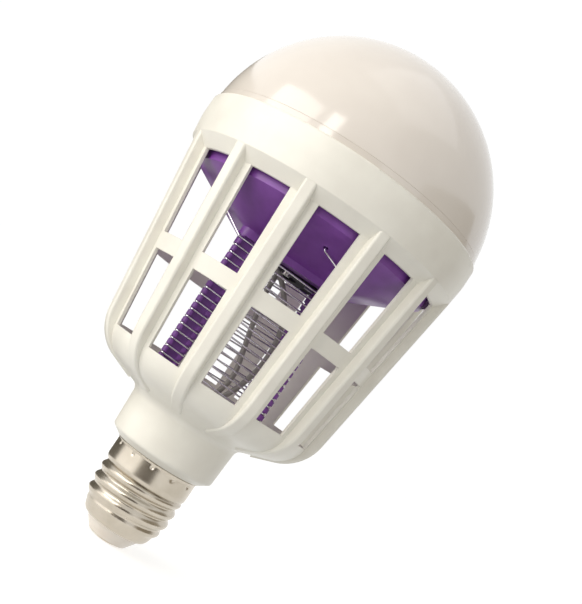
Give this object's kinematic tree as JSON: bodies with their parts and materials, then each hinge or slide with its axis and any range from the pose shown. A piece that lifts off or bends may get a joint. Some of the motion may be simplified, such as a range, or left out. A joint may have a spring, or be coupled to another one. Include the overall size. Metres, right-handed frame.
{
  "type": "insect killer light bulb",
  "caption": "Screw-in light bulb with a milky dome over a white windowed cage that holds a purple frame wound with electric grid wires.",
  "frame": {"origin": "tip of the centre contact, on the bulb's axis", "axes": "+Z along the axis from the cap to the dome, -Y through the middle of a window column"},
  "size_m": [0.0944, 0.0944, 0.171],
  "materials": {
    "housing_plastic": "satin warm white",
    "dome_plastic": "milky gloss",
    "purple_plastic": "satin purple",
    "grid_steel": "bright drawn wire",
    "aluminium_sheet": "plain",
    "board": "white solder mask",
    "dark_board": "black solder mask",
    "driver_laminate": "paper laminate",
    "lamp_chip": "phosphor face",
    "uv_lamp_chip": "clear face",
    "screw_steel": "zinc plated",
    "capacitor_sleeve": "black sleeve",
    "film_case": "red case",
    "black_case": "moulded",
    "coil": "varnished copper",
    "ceramic_disc": "blue lacquer",
    "resistor_body": "lacquered",
    "grey_insulation": "grey lead",
    "red_insulation": "red lead",
    "black_insulation": "black lead",
    "nickel_shell": "bright nickel",
    "cream_insulator": "cream",
    "contact_metal": "plain",
    "solder": "soft"
  },
  "bodies": {
    "root": {"cage_housing": "housing_plastic", "dome_diffuser": "dome_plastic", "grid_frame": "purple_plastic", "grid_wire_live": "grid_steel", "grid_wire_return": "grid_steel", "led_heat_plate": "aluminium_sheet", "led_board": "board", "led_chips": "lamp_chip", "led_plate_screws": "screw_steel", "driver_board": "driver_laminate", "driver_board_screws": "screw_steel", "electrolytic_capacitor": "capacitor_sleeve", "power_inductor": "coil", "film_capacitor": "film_case", "bridge_rectifier": "black_case", "driver_chip": "black_case", "multiplier_capacitors": "ceramic_disc", "multiplier_diodes": "black_case", "bleed_resistor": "resistor_body", "fuse_resistor": "resistor_body", "uv_led_board": "dark_board", "uv_leds": "uv_lamp_chip", "uv_board_screws": "screw_steel", "uv_lead_positive": "red_insulation", "uv_lead_negative": "black_insulation", "live_lead": "grey_insulation", "neutral_lead": "grey_insulation", "led_lead_positive": "red_insulation", "led_lead_negative": "black_insulation", "screw_shell": "nickel_shell", "cap_insulator": "cream_insulator", "centre_contact": "contact_metal", "live_solder": "solder", "neutral_solder": "solder"}
  },
  "joints": []
}
